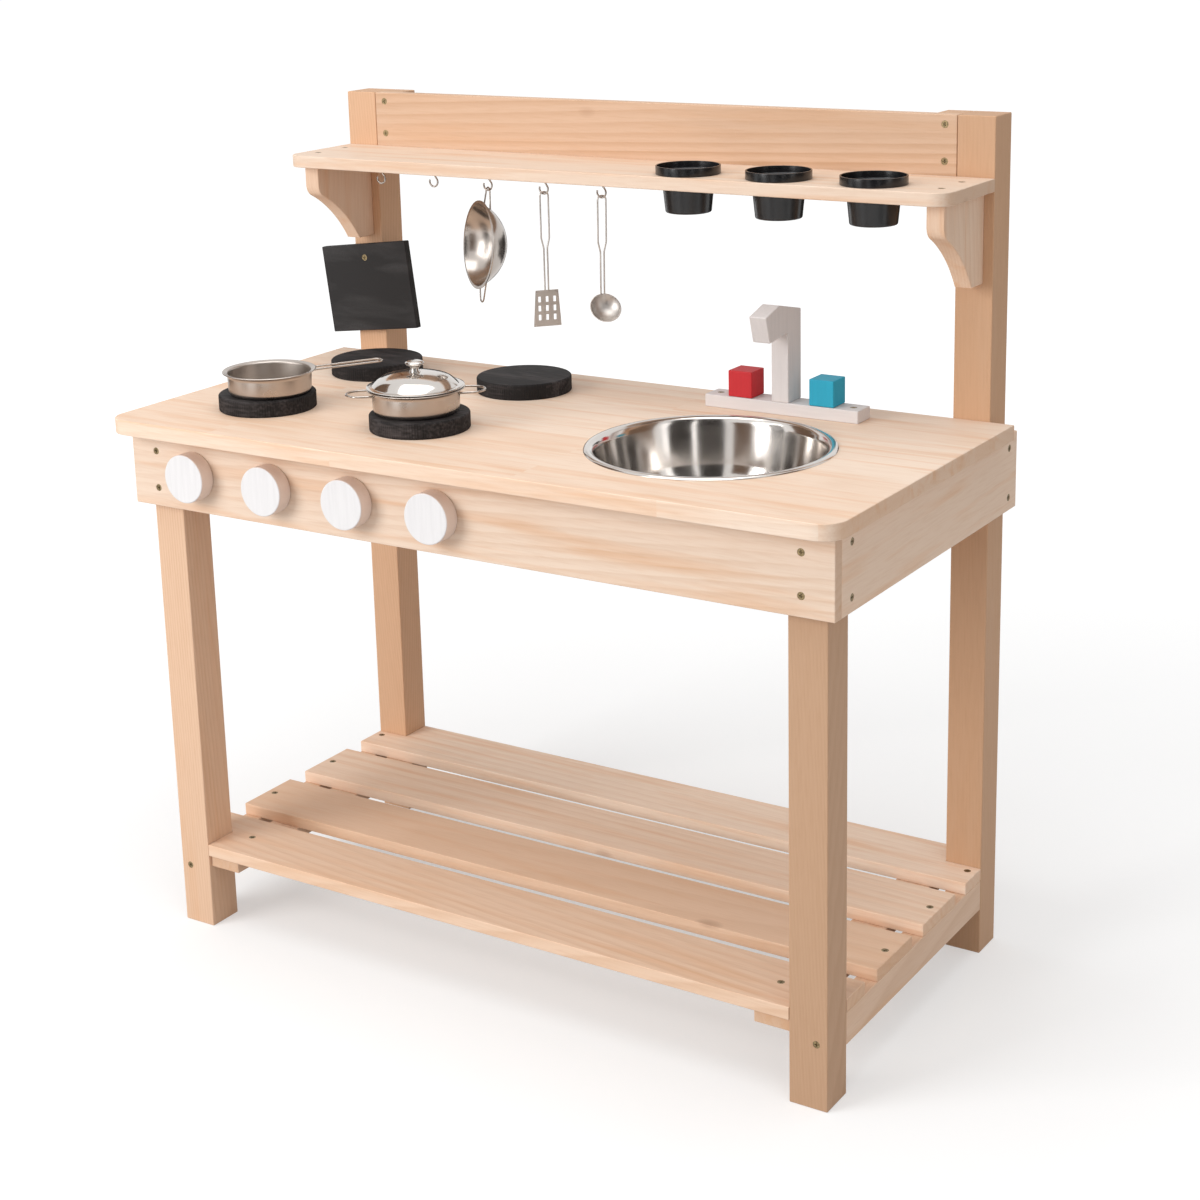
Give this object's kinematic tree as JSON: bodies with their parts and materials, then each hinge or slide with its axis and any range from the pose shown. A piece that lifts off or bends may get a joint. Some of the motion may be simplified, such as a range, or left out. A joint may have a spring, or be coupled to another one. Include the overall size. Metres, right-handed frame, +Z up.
{
  "type": "toy kitchen",
  "caption": "Wooden outdoor play kitchen with a worktop, burner discs, knobs, a bowl sink, a block tap, a top shelf with plant pots, and hanging steel toy utensils.",
  "frame": {"origin": "middle of the bounding box, on the floor", "axes": "+Z up, +Y to the back, +X to the right seen from the front"},
  "size_m": [0.978, 0.493, 1],
  "materials": {
    "pine": "satin",
    "worktop_pine": "satin",
    "black_stain": "matte",
    "white_paint": "satin",
    "tap_paint": "satin",
    "red_paint": "satin",
    "blue_paint": "satin",
    "slate_paint": "matte",
    "black_plastic": "matte",
    "sink_steel": "satin",
    "pan_steel": "polished",
    "wire_steel": "polished",
    "screw_steel": "satin"
  },
  "bodies": {
    "kitchen": {"front_left_leg": "pine", "back_left_post": "pine", "left_apron": "pine", "front_right_leg": "pine", "back_right_post": "pine", "right_apron": "pine", "front_apron": "pine", "back_apron": "pine", "worktop": "worktop_pine", "front_left_burner": "black_stain", "front_right_burner": "black_stain", "back_left_burner": "black_stain", "back_right_burner": "black_stain", "left_side_rail": "pine", "left_slat_batten": "pine", "right_side_rail": "pine", "right_slat_batten": "pine", "shelf_slat_1": "pine", "shelf_slat_2": "pine", "shelf_slat_3": "pine", "shelf_slat_4": "pine", "top_rail": "pine", "top_rail_cleats": "pine", "top_shelf": "pine", "left_bracket": "pine", "right_bracket": "pine", "utensil_hooks": "wire_steel", "tap_base": "tap_paint", "tap_spout": "tap_paint", "frame_screws": "screw_steel", "panel_screws": "screw_steel", "slat_screws": "screw_steel", "chalkboard_screw": "screw_steel"},
    "knob_1_body": {"knob_1": "white_paint", "knob_screw_1": "screw_steel"},
    "knob_2_body": {"knob_2": "white_paint", "knob_screw_2": "screw_steel"},
    "knob_3_body": {"knob_3": "white_paint", "knob_screw_3": "screw_steel"},
    "knob_4_body": {"knob_4": "white_paint", "knob_screw_4": "screw_steel"},
    "red_handle_body": {"red_tap_handle": "red_paint", "red_tap_handle_screw": "screw_steel"},
    "blue_handle_body": {"blue_tap_handle": "blue_paint", "blue_tap_handle_screw": "screw_steel"},
    "chalkboard_body": {"chalkboard": "slate_paint"},
    "sink_body": {"sink_bowl": "sink_steel"},
    "plant_pot_1_body": {"plant_pot_1": "black_plastic"},
    "plant_pot_2_body": {"plant_pot_2": "black_plastic"},
    "plant_pot_3_body": {"plant_pot_3": "black_plastic"},
    "saucepan_body": {"saucepan": "pan_steel", "saucepan_handle": "wire_steel"},
    "casserole_body": {"casserole": "pan_steel", "casserole_handles": "wire_steel"},
    "lid_body": {"casserole_lid": "pan_steel", "lid_knob": "pan_steel"},
    "wok_body": {"wok": "pan_steel", "wok_handles": "wire_steel"},
    "spatula_body": {"spatula": "pan_steel"},
    "ladle_body": {"ladle": "pan_steel"}
  },
  "joints": [
    {"name": "knob_1_turn", "type": "hinge", "parent": "kitchen", "child": "knob_1_body", "pos_m": [-0.35798, -0.2188, 0.594], "axis": [0, -1, 0], "continuous": true},
    {"name": "knob_2_turn", "type": "hinge", "parent": "kitchen", "child": "knob_2_body", "pos_m": [-0.24098, -0.2188, 0.594], "axis": [0, -1, 0], "continuous": true},
    {"name": "knob_3_turn", "type": "hinge", "parent": "kitchen", "child": "knob_3_body", "pos_m": [-0.12398, -0.2188, 0.594], "axis": [0, -1, 0], "continuous": true},
    {"name": "knob_4_turn", "type": "hinge", "parent": "kitchen", "child": "knob_4_body", "pos_m": [-0.00698, -0.2188, 0.594], "axis": [0, -1, 0], "continuous": true},
    {"name": "red_handle_turn", "type": "hinge", "parent": "kitchen", "child": "red_handle_body", "pos_m": [0.18152, 0.1405, 0.672], "axis": [0, 0, 1], "continuous": true},
    {"name": "blue_handle_turn", "type": "hinge", "parent": "kitchen", "child": "blue_handle_body", "pos_m": [0.28652, 0.1405, 0.672], "axis": [0, 0, 1], "continuous": true},
    {"name": "chalkboard_swing", "type": "hinge", "parent": "kitchen", "child": "chalkboard_body", "pos_m": [-0.41748, 0.1912, 0.784], "axis": [0, -1, 0], "range_deg": [-42, 28]},
    {"name": "sink_lift", "type": "slide", "parent": "kitchen", "child": "sink_body", "axis": [0, 0, 1], "range_m": [0, 0.08]},
    {"name": "plant_pot_1_lift", "type": "slide", "parent": "kitchen", "child": "plant_pot_1_body", "axis": [0, 0, 1], "range_m": [0, 0.08]},
    {"name": "plant_pot_2_lift", "type": "slide", "parent": "kitchen", "child": "plant_pot_2_body", "axis": [0, 0, 1], "range_m": [0, 0.08]},
    {"name": "plant_pot_3_lift", "type": "slide", "parent": "kitchen", "child": "plant_pot_3_body", "axis": [0, 0, 1], "range_m": [0, 0.08]},
    {"name": "saucepan_lift", "type": "slide", "parent": "kitchen", "child": "saucepan_body", "axis": [0, 0, 1], "range_m": [0, 0.12]},
    {"name": "casserole_lift", "type": "slide", "parent": "kitchen", "child": "casserole_body", "axis": [0, 0, 1], "range_m": [0, 0.12]},
    {"name": "lid_lift", "type": "slide", "parent": "casserole_body", "child": "lid_body", "axis": [0, 0, 1], "range_m": [0, 0.08]},
    {"name": "wok_swing", "type": "hinge", "parent": "kitchen", "child": "wok_body", "pos_m": [-0.14698, 0.0975, 0.9], "axis": [1, 0, 0], "range_deg": [-12, 12]},
    {"name": "spatula_swing", "type": "hinge", "parent": "kitchen", "child": "spatula_body", "pos_m": [-0.06598, 0.0975, 0.9], "axis": [1, 0, 0], "range_deg": [-25, 25]},
    {"name": "ladle_swing", "type": "hinge", "parent": "kitchen", "child": "ladle_body", "pos_m": [0.01502, 0.0975, 0.9], "axis": [1, 0, 0], "range_deg": [-25, 25]}
  ]
}
